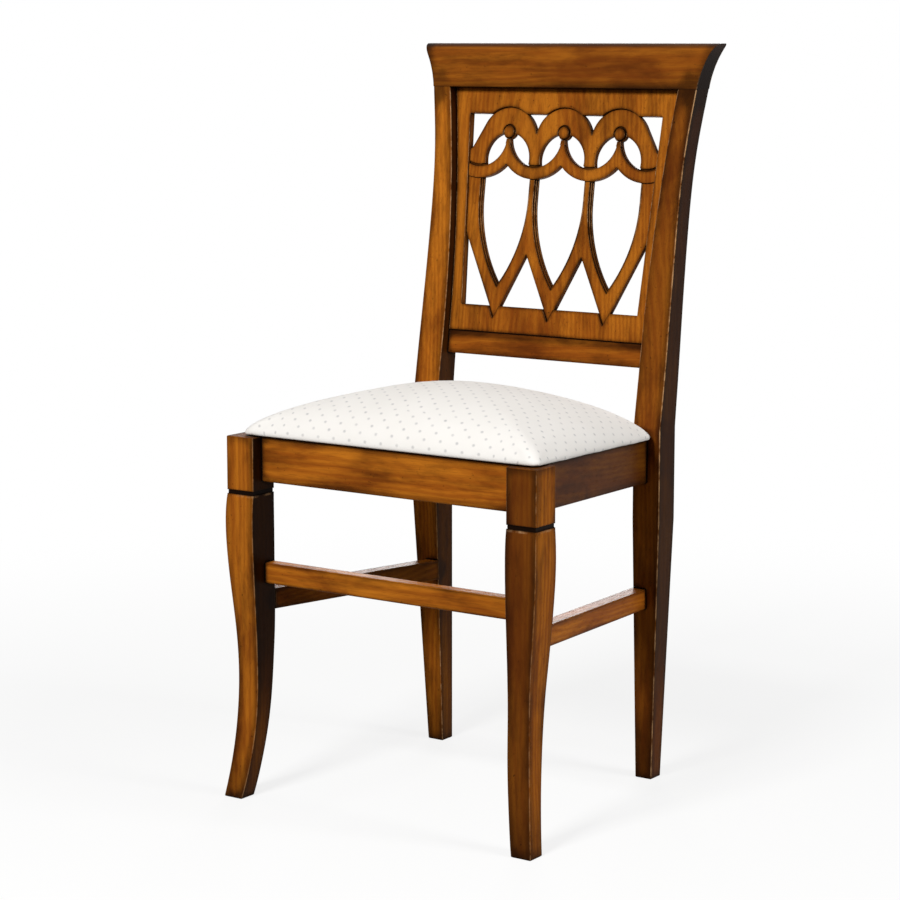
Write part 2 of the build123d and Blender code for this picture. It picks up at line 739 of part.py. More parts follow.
with BuildPart() as side_seat_rail_right:
    rail_half = Vector(0, 0, rail_height / 2)
    with BuildSketch(Plane(point(side_front_x, block_size, seat_height) - rail_half, (-1, 0, 0), (0, 1, 0))):
        Rectangle(rail_thickness, rail_height)
    with BuildSketch(Plane(point(side_rear_x, seat_depth, side_rear_top) - rail_half, (-1, 0, 0), (0, 1, 0))):
        Rectangle(rail_thickness, rail_height)
    loft(ruled=True)
    rail_arrises = side_seat_rail_right.edges().filter_by(lambda edge: edge.length > 2 * rail_height)
    chamfer(rail_arrises, small_round)
    joint(side_front_joint, side_axis * -1, tenon_length)
    joint(side_rear_joint, side_axis, tenon_length)
    for screw_plane in (front_side_screw, rear_side_screw):
        extrude(disc(screw_plane, pilot), amount=-screw_bite - joint_clearance, mode=Mode.SUBTRACT)
finish(side_seat_rail_right, "side_seat_rail_right")

with BuildPart() as side_seat_rail_left:
    mirror(side_seat_rail_right.part, about=Plane.YZ)
finish(side_seat_rail_left, "side_seat_rail_left")

# Stretchers
with BuildPart() as front_stretcher:
    with BuildSketch(level(front_stretcher_top - stretcher_height)):
        with Locations(((leg_inner_x - shoulder_clearance) / 2, front_stretcher_y)):
            Rectangle(leg_inner_x - shoulder_clearance, stretcher_thickness)
    extrude(amount=stretcher_height)
    chamfer(front_stretcher.edges().filter_by(Axis.X), small_round)
    joint(front_stretcher_joint, front_stretcher_joint.z_dir, stretcher_tenon_length)
    mirror(about=Plane.YZ)
finish(front_stretcher, "front_stretcher")

with BuildPart() as side_stretcher_right:
    shoulder = stretcher_axis * shoulder_clearance
    overrun = stretcher_axis * (stretcher_reach + 2 * side_stretcher_thickness)
    with BuildSketch(Plane(stretcher_start + shoulder, (-1, 0, 0), (0, 1, 0))):
        Rectangle(side_stretcher_thickness, stretcher_height)
    with BuildSketch(Plane(stretcher_start + overrun, (-1, 0, 0), (0, 1, 0))):
        Rectangle(side_stretcher_thickness, stretcher_height)
    loft(ruled=True)
    split(bisect_by=post_face.offset(-shoulder_clearance), keep=Keep.BOTTOM)
    arrises = side_stretcher_right.edges().filter_by(lambda edge: edge.length > 2 * stretcher_height)
    chamfer(arrises, small_round)
    joint(stretcher_front_joint, stretcher_axis * -1, stretcher_tenon_length)
    joint(stretcher_rear_joint, stretcher_axis, stretcher_tenon_length)
finish(side_stretcher_right, "side_stretcher_right")

with BuildPart() as side_stretcher_left:
    mirror(side_stretcher_right.part, about=Plane.YZ)
finish(side_stretcher_left, "side_stretcher_left")


# Corner blocks, glued and screwed to the rails, with the screws that hold the pad
def seat_screw(corner_x, cross_face, step, z):
    """Plane under a corner block where the pad's screw goes in, facing up."""
    return Plane(origin=point(corner_x - seat_screw_inset, cross_face + step * seat_screw_inset, z))


def corner_block(corner_x, cross_face, step, base, screws, pad_screw):
    """Block across an inner corner of the seat frame, bored for its two rail screws and the pad screw."""
    near = cross_face + step * (brace_short + tenon_edge)
    far = cross_face + step * brace_long
    with BuildPart() as block:
        with BuildSketch(level(base)):
            with BuildLine():
                Polyline(
                    (corner_x - brace_short, cross_face),
                    (corner_x - brace_long, cross_face),
                    (side_inner(far), far),
                    (side_inner(near), near),
                    close=True,
                )
            make_face()
        extrude(amount=brace_height)
        for screw_plane in screws:
            extrude(disc(screw_plane, pilot), amount=brace_long, mode=Mode.SUBTRACT)
            extrude(disc(screw_plane.offset(screw_seat), bore), amount=brace_long, mode=Mode.SUBTRACT)
        extrude(disc(pad_screw, pilot), amount=brace_height, mode=Mode.SUBTRACT)
        extrude(disc(pad_screw, bore), amount=seat_screw_sink, mode=Mode.SUBTRACT)
    return block


front_pad_screw = seat_screw(leg_inner_x, front_cross_face, 1, brace_front_z)
rear_pad_screw = seat_screw(post_inner_x, rear_cross_face, -1, brace_rear_z)
corner_block_front_right = corner_block(
    leg_inner_x, front_cross_face, 1, brace_front_z, (front_cross_screw, front_side_screw), front_pad_screw
)
finish(corner_block_front_right, "corner_block_front_right")
corner_block_rear_right = corner_block(
    post_inner_x, rear_cross_face, -1, brace_rear_z, (rear_cross_screw, rear_side_screw), rear_pad_screw
)
finish(corner_block_rear_right, "corner_block_rear_right")

with BuildPart() as corner_block_front_left:
    mirror(corner_block_front_right.part, about=Plane.YZ)
finish(corner_block_front_left, "corner_block_front_left")

with BuildPart() as corner_block_rear_left:
    mirror(corner_block_rear_right.part, about=Plane.YZ)
finish(corner_block_rear_left, "corner_block_rear_left")

with BuildPart() as corner_block_screws:
    for screw_plane in (front_cross_screw, front_side_screw, rear_cross_screw, rear_side_screw):
        extrude(disc(screw_plane.offset(-screw_bite), screw_diameter), amount=screw_bite + screw_seat)
        extrude(disc(screw_plane.offset(screw_seat), screw_head_diameter), amount=screw_head_height)
    mirror(about=Plane.YZ)
finish(corner_block_screws, "corner_block_screws")


# Seat pad: board, foam and cover, built up square to the seat's slope
def seat_level(height):
    """Plane parallel to the rails' tops at a height over them."""
    return seat_plane.offset(height)


def pad_outline(height, inset):
    """Outline of the pad in from its widest line, with rounder corners the further in it is."""
    front = pad_front + inset - block_size
    rear = seat_depth - pad_rear_gap - inset - block_size
    front_half = pad_front_half - inset
    rear_half = pad_rear_half - inset
    room = min(rear - front, 2 * rear_half)
    corner = min(pad_corner + pad_corner_growth * inset, 0.45 * room)
    with BuildSketch(seat_level(height), mode=Mode.PRIVATE) as outline:
        with BuildLine():
            Polyline((-front_half, front), (front_half, front), (rear_half, rear), (-rear_half, rear), close=True)
        make_face()
        fillet(outline.vertices(), corner)
    return outline.sketch


def pad_form(thickness):
    """Sections of the pad's crowned body, a thickness inside the cover's outer surface."""
    half_span = min((seat_depth - pad_rear_gap - pad_front) / 2, pad_rear_half)
    base = hem_thickness if thickness else 0.0
    sections = [pad_outline(seat_gap + base, pad_tuck + thickness)]
    for step in range(pad_steps + 1):
        share = (step / pad_steps) ** 1.5 * (1 - pad_flat / half_span)
        rise = pad_crown - (pad_crown - pad_widest) * (1 - share) ** 2
        slope = rise / pad_crown
        sections.append(pad_outline(seat_gap + rise - thickness * slope, half_span * share + thickness * (1 - slope)))
    return sections


def pad_screw_hole(pad_screw):
    """Upright pilot hole for a pad screw, stopping inside the board."""
    with BuildPart() as hole:
        extrude(disc(pad_screw, pilot), amount=reach)
        split(bisect_by=seat_level(hem_top + seat_screw_bite + joint_clearance), keep=Keep.BOTTOM)
    return hole.part


hem_top = seat_gap + hem_thickness
pad_screw_holes = [pad_screw_hole(front_pad_screw), pad_screw_hole(rear_pad_screw)]
with BuildPart() as seat_board:
    extrude(pad_outline(hem_top, board_inset), amount=board_thickness)
    for screw_hole in pad_screw_holes:
        add(screw_hole, mode=Mode.SUBTRACT)
        add(screw_hole.mirror(Plane.YZ), mode=Mode.SUBTRACT)
finish(seat_board, "seat_board")

with BuildPart() as seat_foam:
    loft(pad_form(cover_thickness + foam_gap), ruled=True)
    extrude(
        pad_outline(seat_gap, board_inset - foam_gap),
        amount=hem_thickness + board_thickness + foam_gap,
        mode=Mode.SUBTRACT,
    )
finish(seat_foam, "seat_foam")

with BuildPart() as seat_cover:
    loft(pad_form(0.0), ruled=True)
    loft(pad_form(cover_thickness), ruled=True, mode=Mode.SUBTRACT)
    extrude(pad_outline(seat_gap, hem_width), amount=hem_thickness, both=True, mode=Mode.SUBTRACT)
finish(seat_cover, "seat_cover")

with BuildPart() as seat_fixing_screws:
    for pad_screw in (front_pad_screw, rear_pad_screw):
        head = pad_screw.offset(seat_screw_sink - screw_head_height)
        extrude(disc(head, screw_head_diameter), amount=screw_head_height)
        screw_end = seat_level(hem_top + seat_screw_bite - screw_diameter * seat_fall)
        shank = (screw_end.origin - head.origin).dot(screw_end.z_dir) / screw_end.z_dir.Z
        extrude(disc(head, screw_diameter), amount=shank)
    mirror(about=Plane.YZ)
finish(seat_fixing_screws, "seat_fixing_screws")
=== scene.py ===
# %% [markdown]
# # A dining chair with a fretwork back
# The wooden frame arrives as exact solids from the CAD model. This notebook gives the wood its stain and
# glaze, makes the upholstered pad from scratch and sets up the studio. Every length is in metres.

# %% Load the frame
import math

import bpy
import numpy as np
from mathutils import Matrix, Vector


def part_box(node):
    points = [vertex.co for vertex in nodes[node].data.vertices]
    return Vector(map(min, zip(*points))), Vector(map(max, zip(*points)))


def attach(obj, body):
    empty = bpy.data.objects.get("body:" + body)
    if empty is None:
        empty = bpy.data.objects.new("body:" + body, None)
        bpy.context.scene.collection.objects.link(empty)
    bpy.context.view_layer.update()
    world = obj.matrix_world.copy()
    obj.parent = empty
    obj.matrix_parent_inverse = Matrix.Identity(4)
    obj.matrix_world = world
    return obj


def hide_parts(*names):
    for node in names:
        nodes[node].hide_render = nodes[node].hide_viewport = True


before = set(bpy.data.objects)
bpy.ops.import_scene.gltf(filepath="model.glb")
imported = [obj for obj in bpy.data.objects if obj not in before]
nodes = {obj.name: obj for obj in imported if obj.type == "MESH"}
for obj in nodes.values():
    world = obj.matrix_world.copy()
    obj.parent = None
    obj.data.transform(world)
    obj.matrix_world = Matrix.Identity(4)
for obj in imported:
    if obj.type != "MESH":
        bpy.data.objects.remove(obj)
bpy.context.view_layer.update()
print("pieces in the frame:", len(nodes))

# %% [markdown]
# ## Small helpers for shader nodes
# A material is a graph: each node is a box with sockets, and links carry values between them. It could be
# drawn by hand in the shader editor. In a script, a few short helpers keep it readable: they add a node and
# fill its sockets, do arithmetic, cut a soft mask out of a value, and lay one colour over another.


# %% Node helpers
def feed(tree, socket, value):
    """Link an output into a socket, or set the socket to a plain value."""
    if isinstance(value, bpy.types.NodeSocket):
        tree.links.new(value, socket)
    else:
        socket.default_value = value


def add(tree, kind, settings=None, **sockets):
    """Add a node. settings are its own options; sockets are input values or the outputs linked into them."""
    box = tree.nodes.new("ShaderNode" + kind)
    for key, value in (settings or {}).items():
        setattr(box, key, value)
    for key, value in sockets.items():
        feed(tree, box.inputs[key.replace("_", " ")], value)
    return box


def sums(tree, how, first, second=0.0, third=0.0):
    """One step of arithmetic on one, two or three values."""
    box = tree.nodes.new("ShaderNodeMath")
    box.operation = how
    for socket, value in zip(box.inputs, (first, second, third)):
        feed(tree, socket, value)
    return box.outputs[0]


def rest(tree, mask):
    """The rest of a mask: 1 minus it."""
    return sums(tree, "SUBTRACT", 1.0, mask)


def steps(tree, value, low, high):
    """Smooth step: 0 below low, 1 above high."""
    box = add(tree, "MapRange", {"interpolation_type": "SMOOTHSTEP"})
    feed(tree, box.inputs["Value"], value)
    feed(tree, box.inputs["From Min"], low)
    feed(tree, box.inputs["From Max"], high)
    return box.outputs["Result"]


def vectors(tree, how, first, second=None):
    """One step of arithmetic on one or two vectors; gives the node."""
    box = add(tree, "VectorMath", {"operation": how})
    feed(tree, box.inputs[0], first)
    if second is not None:
        feed(tree, box.inputs[1], second)
    return box


def noise(tree, place, scale, detail, roughness=0.5, distortion=0.0):
    """Smooth random values about 0.5 over a place."""
    box = add(tree, "TexNoise", None, Vector=place, Scale=scale, Detail=detail)
    box.inputs["Roughness"].default_value = roughness
    box.inputs["Distortion"].default_value = distortion
    return box.outputs["Fac"]


# %% [markdown]
# ## Colours, groups and materials
# Colours are written as they look on a screen, from 0 to 255, and turned into the linear light that a
# renderer counts in. A group is a graph with sockets of its own, so that many materials can share it.


# %% Colour, group and material helpers
def srgb(red, green, blue):
    """A colour as a painter reads it (0 to 255 on a screen), turned into linear light."""
    parts = np.array([red, green, blue]) / 255.0
    linear = np.where(parts <= 0.04045, parts / 12.92, ((parts + 0.055) / 1.055) ** 2.4)
    return (*linear.tolist(), 1.0)


def blend(tree, share, low, high):
    """Colour that goes from low to high as share goes from 0 to 1."""
    box = tree.nodes.new("ShaderNodeMix")
    box.data_type = "RGBA"
    feed(tree, box.inputs[0], share)
    feed(tree, box.inputs[6], low)
    feed(tree, box.inputs[7], high)
    return box.outputs[2]


def wash(tree, colour, tint, mask, share):
    """A tint laid over a colour where a mask is, and only so far as a share."""
    return blend(tree, sums(tree, "MULTIPLY", mask, share), colour, tint)


def new_group(name, inputs, outputs):
    """An empty node group: inputs are (kind, name, default), outputs are the names of plain values."""
    tree = bpy.data.node_groups.new(name, "ShaderNodeTree")
    for kind, label, default in inputs:
        socket = tree.interface.new_socket(name=label, in_out="INPUT", socket_type="NodeSocket" + kind)
        if default is not None:
            socket.default_value = default
    for label in outputs:
        tree.interface.new_socket(name=label, in_out="OUTPUT", socket_type="NodeSocketFloat")
    return tree, tree.nodes.new("NodeGroupInput"), tree.nodes.new("NodeGroupOutput")


def place_group(tree, group, **sockets):
    """Put a node group into a material and fill its inputs."""
    box = tree.nodes.new("ShaderNodeGroup")
    box.node_tree = group
    for key, value in sockets.items():
        feed(tree, box.inputs[key.replace("_", " ")], value)
    return box


def new_material(name):
    """An empty material with its shader, ready for a graph."""
    material = bpy.data.materials.new(name)
    material.use_nodes = True
    tree = material.node_tree
    tree.nodes.clear()
    shader = tree.nodes.new("ShaderNodeBsdfPrincipled")
    output = tree.nodes.new("ShaderNodeOutputMaterial")
    tree.links.new(shader.outputs["BSDF"], output.inputs["Surface"])
    return material, tree, shader


def dress(piece, material):
    """Give an object one material all over."""
    piece.data.materials.clear()
    piece.data.materials.append(material)


# %% [markdown]
# ## The figure of the wood
# A board is a slice through a tree's growth rings, so the group makes real rings: a wave around an axis,
# the pith, that passes beside the piece. Where a curved leg cuts across them they show as arches, and on a
# straight rail as long lines. Noise that is squeezed across the grain and stretched along it adds the rest:
# broad tones, clouds and smudges where the stain sank in, streaks, and, cut off near its top, the pores.
# Vector has its Z along the grain, and Spot moves the noise to another board.

# %% Grain as a node group
RING_SHARE = 0.14
grain, grain_in, grain_out = new_group(
    "wood_grain",
    [("Vector", "Vector", None), ("Vector", "Spot", None)],
    ["Tone", "Streak", "Pores", "Cloud", "Smudge"],
)
moved = vectors(grain, "ADD", grain_in.outputs["Vector"], grain_in.outputs["Spot"]).outputs[0]


def grain_noise(across, along, detail, roughness, distortion=0.0):
    """Noise with so many waves in a metre across the grain and along it."""
    scale = (across, across, along)
    place = add(grain, "Mapping", None, Vector=moved, Scale=scale).outputs[0]
    return noise(grain, place, 1.0, detail, roughness, distortion)


pith = add(grain, "Mapping", None, Vector=grain_in.outputs["Vector"])
pith.inputs["Location"].default_value = (0.031, 0.057, 0)
pith.inputs["Scale"].default_value = (1, 1, 0.14)
rings = add(
    grain,
    "TexWave",
    {"wave_type": "RINGS", "rings_direction": "Z", "wave_profile": "SIN"},
    Vector=pith.outputs[0],
    Scale=56.0,
    Distortion=8.0,
    Detail=3.0,
    Detail_Scale=0.7,
    Detail_Roughness=0.62,
)
broad = sums(grain, "MULTIPLY", grain_noise(34, 3.4, 4.0, 0.55, 0.4), 1 - RING_SHARE)
patterns = {
    "Tone": sums(grain, "MULTIPLY_ADD", rings.outputs["Fac"], RING_SHARE, broad),
    "Streak": grain_noise(560, 14, 3.0, 0.6),
    "Pores": steps(grain, grain_noise(1600, 60, 1.0, 0.5), 0.58, 0.7),
    "Cloud": grain_noise(12, 6, 4.0, 0.62, 0.6),
    "Smudge": grain_noise(42, 11, 4.0, 0.6),
}
for name, value in patterns.items():
    grain.links.new(value, grain_out.inputs[name])
print("grain group has", len(grain.nodes), "nodes")

# %% [markdown]
# ## The antique glaze, with painted shade and highlights
# The finisher wipes a near-black glaze over the stain: it stays in corners and shades off along every edge,
# and the sharpest arrises are rubbed through to pale wood. The same near-black also paints the shade in
# corners, recesses and grooves, and on the fretwork the pale arrises also paint highlights. It could be
# painted by hand, but measuring nodes find those places on any piece. Ambient Occlusion looks for walls close
# by: outside the surface that finds corners, and inside it finds the places where the wood is thin, which is
# along its edges.

# %% Glaze and painted shade masks: corners, grooves and edges
CORNER_REACH = 0.010
GROOVE_REACH = 0.002
EDGE_REACH = 0.014
ARRIS_WIDTH = 0.0028
glaze_and_shade, glaze_and_shade_in, glaze_and_shade_out = new_group(
    "antique_glaze_and_shade",
    [
        ("Float", "Corner reach", CORNER_REACH),
        ("Float", "Groove reach", GROOVE_REACH),
        ("Float", "Edge reach", EDGE_REACH),
        ("Float", "Arris width", ARRIS_WIDTH),
    ],
    ["Corner", "Groove", "Edge", "Arris", "Worn_and_glint", "Outer", "Inner", "Front", "Top"],
)


def closed_in(reach, inside=False):
    """How far walls within a reach close in on a point of the surface, from outside or inside the wood."""
    options = {"samples": 8, "inside": inside}
    look = add(glaze_and_shade, "AmbientOcclusion", options, Distance=glaze_and_shade_in.outputs[reach])
    return rest(glaze_and_shade, look.outputs["AO"])


# Painted shade: Corner and Groove darken corners, recesses and the floors of grooves where shade falls, as
# well as where glaze gathers.
groove_mask = steps(glaze_and_shade, closed_in("Groove reach"), 0.03, 0.16)
masks = {
    "Corner": steps(glaze_and_shade, closed_in("Corner reach"), 0.1, 0.6),
    "Groove": groove_mask,
    "Edge": steps(glaze_and_shade, closed_in("Edge reach", inside=True), 0.02, 0.5),
}
print("masks so far:", ", ".join(masks))

# %% [markdown]
# Bevel averages the surface's direction around a point, and where that differs from the real direction
# there is an arris. Level arrises, such as the top of a rail under another piece, aren't rubbed, so those
# where the direction tips up or down are left out of the mask of worn arrises, which on the fretwork also
# marks painted highlights. Faces that are already cut at a slant count in it too.

# %% Glaze masks: arrises, for wear and painted highlights
surface = add(glaze_and_shade, "NewGeometry").outputs["Normal"]
rounded = add(glaze_and_shade, "Bevel", {"samples": 6}, Radius=glaze_and_shade_in.outputs["Arris width"]).outputs["Normal"]
bend = rest(glaze_and_shade, vectors(glaze_and_shade, "DOT_PRODUCT", rounded, surface).outputs["Value"])
arris_mask = steps(glaze_and_shade, bend, 0.01, 0.12)
lean = add(glaze_and_shade, "SeparateXYZ", None, Vector=rounded).outputs
facing = add(glaze_and_shade, "SeparateXYZ", None, Vector=surface).outputs
tip = sums(glaze_and_shade, "ABSOLUTE", sums(glaze_and_shade, "SUBTRACT", lean["Z"], facing["Z"]))
upright = rest(glaze_and_shade, steps(glaze_and_shade, tip, 0.05, 0.15))
sideways_part = sums(glaze_and_shade, "ABSOLUTE", facing["X"])
forward_part = sums(glaze_and_shade, "ABSOLUTE", facing["Y"])
slanted = steps(glaze_and_shade, sums(glaze_and_shade, "MINIMUM", sideways_part, forward_part), 0.3, 0.5)
sharp = sums(glaze_and_shade, "MAXIMUM", sums(glaze_and_shade, "MULTIPLY", arris_mask, upright), slanted)
masks["Arris"] = arris_mask
masks["Worn_and_glint"] = sums(glaze_and_shade, "MULTIPLY", sharp, rest(glaze_and_shade, groove_mask))
print("masks so far:", ", ".join(masks))

# %% [markdown]
# Some faces are darker than others: fronts where the stain went deeper, tops where the glaze is heavier,
# outer sides partly from heavier glaze and partly as painted shade, and inner sides, under the seat, as
# painted shade. The direction of the surface tells them apart: outwards and inwards are measured from the
# middle of the chair, fronts look along minus Y and tops up.

# %% Glaze and painted shade masks: the way a face looks
placed = add(glaze_and_shade, "SeparateXYZ", None, Vector=add(glaze_and_shade, "TexCoord").outputs["Object"]).outputs
outwards = sums(glaze_and_shade, "MULTIPLY", facing["X"], sums(glaze_and_shade, "SIGN", placed["X"]))
inwards = sums(glaze_and_shade, "MULTIPLY", outwards, -1.0)
forwards = sums(glaze_and_shade, "MULTIPLY", facing["Y"], -1.0)
# Outer: outer sides, darkened partly as heavier glaze and partly as painted shade. Inner: inner sides,
# darkened as painted shade under the seat.
masks["Outer"] = steps(glaze_and_shade, outwards, 0.55, 0.9)
masks["Inner"] = steps(glaze_and_shade, inwards, 0.55, 0.9)
masks["Front"] = steps(glaze_and_shade, forwards, 0.55, 0.9)
masks["Top"] = steps(glaze_and_shade, facing["Z"], 0.6, 0.9)
for name, value in masks.items():
    glaze_and_shade.links.new(value, glaze_and_shade_out.inputs[name])
print("glaze group has", len(glaze_and_shade.nodes), "nodes")

# %% [markdown]
# ## Stained wood, coat by coat
# The finish is built up as a finisher builds it: first the stain, which the wood takes unevenly, then the
# glaze, with painted shade laid in with it, then a rub over the arrises, which on the fretwork also paints
# highlights, and a coat of wax. One function lays each coat over the colour so far.

# %% Stain, glaze with painted shade, and rubbing with painted highlights
HONEY = srgb(200, 119, 32)
AMBER = srgb(161, 86, 22)
RUSSET = srgb(116, 52, 15)
UMBER = srgb(76, 36, 12)
SMUDGE = srgb(56, 24, 9)
GLAZE_AND_SHADE = srgb(20, 10, 6)
RUBBED_AND_GLINT = srgb(202, 158, 112)
RING_LIP = 0.0044
SCUFF_HEIGHT = 0.09
FADE_HEIGHT = 0.2


def stain_coat(tree, board, age_and_light, place, deep, front):
    """Amber to honey by the figure, darker where clouds, streaks, pores and smudges took more stain, by how
    deep it went all over and on the front, and specked with a few near-black flecks."""
    figure = board.outputs
    colour = blend(tree, steps(tree, figure["Tone"], 0.32, 0.68), AMBER, HONEY)
    colour = wash(tree, colour, RUSSET, steps(tree, figure["Cloud"], 0.47, 0.72), 0.75)
    colour = wash(tree, colour, UMBER, steps(tree, figure["Streak"], 0.48, 0.74), 0.26)
    colour = wash(tree, colour, UMBER, figure["Pores"], 0.3)
    colour = blend(tree, sums(tree, "MULTIPLY_ADD", figure["Cloud"], 0.3, deep - 0.15), colour, UMBER)
    colour = wash(tree, colour, UMBER, age_and_light.outputs["Front"], front)
    fleck = steps(tree, noise(tree, place, 240.0, 2.0, 0.6), 0.68, 0.76)
    colour = wash(tree, colour, GLAZE_AND_SHADE, fleck, 0.7)
    return wash(tree, colour, SMUDGE, steps(tree, figure["Smudge"], 0.46, 0.74), 0.55)


def glaze_and_shade_coat(tree, colour, board, age_and_light, height, outer, inner, top):
    """Near-black coat: on the scuffed feet; on tops as heavier glazing; on outer sides as heavier glazing and
    painted shade; on inner sides as painted shade; all of these less near the feet. Then along edges and on
    arrises as glazing, and in corners and grooves as glazing and painted shade."""
    scuffed = rest(tree, steps(tree, height, 0.0, SCUFF_HEIGHT))
    colour = wash(tree, colour, GLAZE_AND_SHADE, scuffed, 0.5)
    # Painted shade: the inner sides, and part of the outer sides, are darkened for shade, less so near the
    # feet.
    sides = sums(tree, "MULTIPLY", age_and_light.outputs["Outer"], outer)
    sides = sums(tree, "MULTIPLY_ADD", age_and_light.outputs["Inner"], inner, sides)
    sides = sums(tree, "MULTIPLY_ADD", age_and_light.outputs["Top"], top, sides)
    fade = sums(tree, "MULTIPLY_ADD", steps(tree, height, 0.0, FADE_HEIGHT), 0.55, 0.45)
    colour = wash(tree, colour, GLAZE_AND_SHADE, sides, fade)
    patchy = sums(tree, "MULTIPLY_ADD", steps(tree, board.outputs["Cloud"], 0.35, 0.65), 0.35, 0.5)
    colour = wash(tree, colour, GLAZE_AND_SHADE, age_and_light.outputs["Edge"], patchy)
    # Painted shade and glaze in corners and grooves; glaze alone on the arrises.
    for where, share in (("Corner", 0.7), ("Groove", 0.95), ("Arris", 0.6)):
        colour = wash(tree, colour, GLAZE_AND_SHADE, age_and_light.outputs[where], share)
    return colour


def rub_and_glint_coat(tree, colour, age_and_light, place, height, rub_and_glint, ring):
    """Pale wood where the finish is gone from the arrises, in broken strokes; on the fretwork the same pale
    strokes are also painted highlights on its reeds. Where a ring is cut round the piece at a height, its
    lower lip is paled as well and the notch is filled with glazing."""
    touch = noise(tree, place, 70.0, 3.0, 0.65)
    pale_strokes = sums(tree, "MULTIPLY", age_and_light.outputs["Worn_and_glint"], steps(tree, touch, 0.32, 0.66))
    # Pale strokes: wear on the arrises, and on the fretwork painted highlights too.
    colour = wash(tree, colour, RUBBED_AND_GLINT, pale_strokes, rub_and_glint)
    if ring is None:
        return colour
    above = sums(tree, "SUBTRACT", height, ring)
    lip = sums(tree, "ABSOLUTE", sums(tree, "ADD", above, RING_LIP))
    lip = rest(tree, steps(tree, lip, 0.0006, 0.0018))
    colour = wash(tree, colour, RUBBED_AND_GLINT, lip, steps(tree, touch, 0.4, 0.9))
    notch = rest(tree, steps(tree, sums(tree, "ABSOLUTE", above), 0.0022, 0.003))
    return blend(tree, notch, colour, GLAZE_AND_SHADE)


print("coats:", stain_coat.__name__, glaze_and_shade_coat.__name__, rub_and_glint_coat.__name__)

# %% [markdown]
# ## Piece by piece
# Every piece is cut from its own board, so each gets its own material: the same coats, with the grain turned
# along that piece and moved to a fresh spot in the pattern. The other values say how the piece is finished
# and shaded: how deep the stain went all over and on the front, how much dark is on its outer side (heavier
# glaze and painted shade), inner side (painted shade) and top (glaze), how far its arrises are rubbed
# through, with painted highlights on the fretwork, and how far in from an edge the glaze shades off.

# %% Stained wood
WAX = srgb(226, 178, 128)
WAX_GLOSS = 0.035
TURN_TO_GRAIN = {"X": (0, -math.pi / 2, 0), "Y": (math.pi / 2, 0, 0), "Z": (0, 0, 0)}


def board_figure(tree, place, piece, along, spot):
    """The grain group on a piece: coordinates from the piece's middle, turned so that Z runs along the grain,
    with the pith leaning a little as it does in a real board."""
    low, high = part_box(piece)
    middle = [(a + b) / 2 for a, b in zip(low, high)]
    centred = vectors(tree, "SUBTRACT", place, middle).outputs[0]
    lean = 0.03 + 0.02 * math.sin(9.0 * spot[0])
    turn = [angle + lean for angle in TURN_TO_GRAIN[along]]
    turned = add(tree, "Mapping", None, Vector=centred, Rotation=turn)
    return place_group(tree, grain, Vector=turned.outputs[0], Spot=spot)


def stained_wood(
    piece,
    spot,
    along,
    deep,
    front=0.0,
    outer=0.0,
    inner=0.0,
    top=0.0,
    rub_and_glint=0.4,
    edge=EDGE_REACH,
    arris=ARRIS_WIDTH,
    groove=GROOVE_REACH,
    ring=None,
):
    """Stained, glazed and waxed wood for a piece, with painted shade and highlights laid in with the glazing
    and the rubbing, and the grain along an axis; spot picks another board. groove is how far a wall shades
    the floor of a groove beside it, and ring is the height of a cut ring."""
    material, tree, shader = new_material("stained_" + piece)
    place = add(tree, "TexCoord").outputs["Object"]
    height = add(tree, "SeparateXYZ", None, Vector=place).outputs["Z"]
    board = board_figure(tree, place, piece, along, spot)
    age_and_light = place_group(tree, glaze_and_shade, Edge_reach=edge, Arris_width=arris, Groove_reach=groove)
    colour = stain_coat(tree, board, age_and_light, place, deep, front)
    colour = glaze_and_shade_coat(tree, colour, board, age_and_light, height, outer, inner, top)
    colour = rub_and_glint_coat(tree, colour, age_and_light, place, height, rub_and_glint, ring)
    tree.links.new(colour, shader.inputs["Base Color"])

    pores = board.outputs["Pores"]
    rough = sums(tree, "MULTIPLY_ADD", pores, 0.18, 0.4)
    rough = sums(tree, "MULTIPLY_ADD", age_and_light.outputs["Corner"], 0.25, rough)
    tree.links.new(rough, shader.inputs["Roughness"])
    relief = sums(tree, "MULTIPLY_ADD", pores, -0.6, board.outputs["Streak"])
    bump = add(tree, "Bump", None, Strength=0.12, Distance=0.0004, Height=relief)
    tree.links.new(bump.outputs["Normal"], shader.inputs["Normal"])
    shader.inputs["Specular IOR Level"].default_value = WAX_GLOSS
    shader.inputs["Specular Tint"].default_value = WAX
    return material


# %% [markdown]
# The table has one row for each board. The fretwork has narrow bars, so its glaze shades off over a
# shorter way than on the posts, and its grooves are shallow. Both front legs have a ring cut round them
# below the seat. The two sides of the chair were finished alike where one row stands for both.

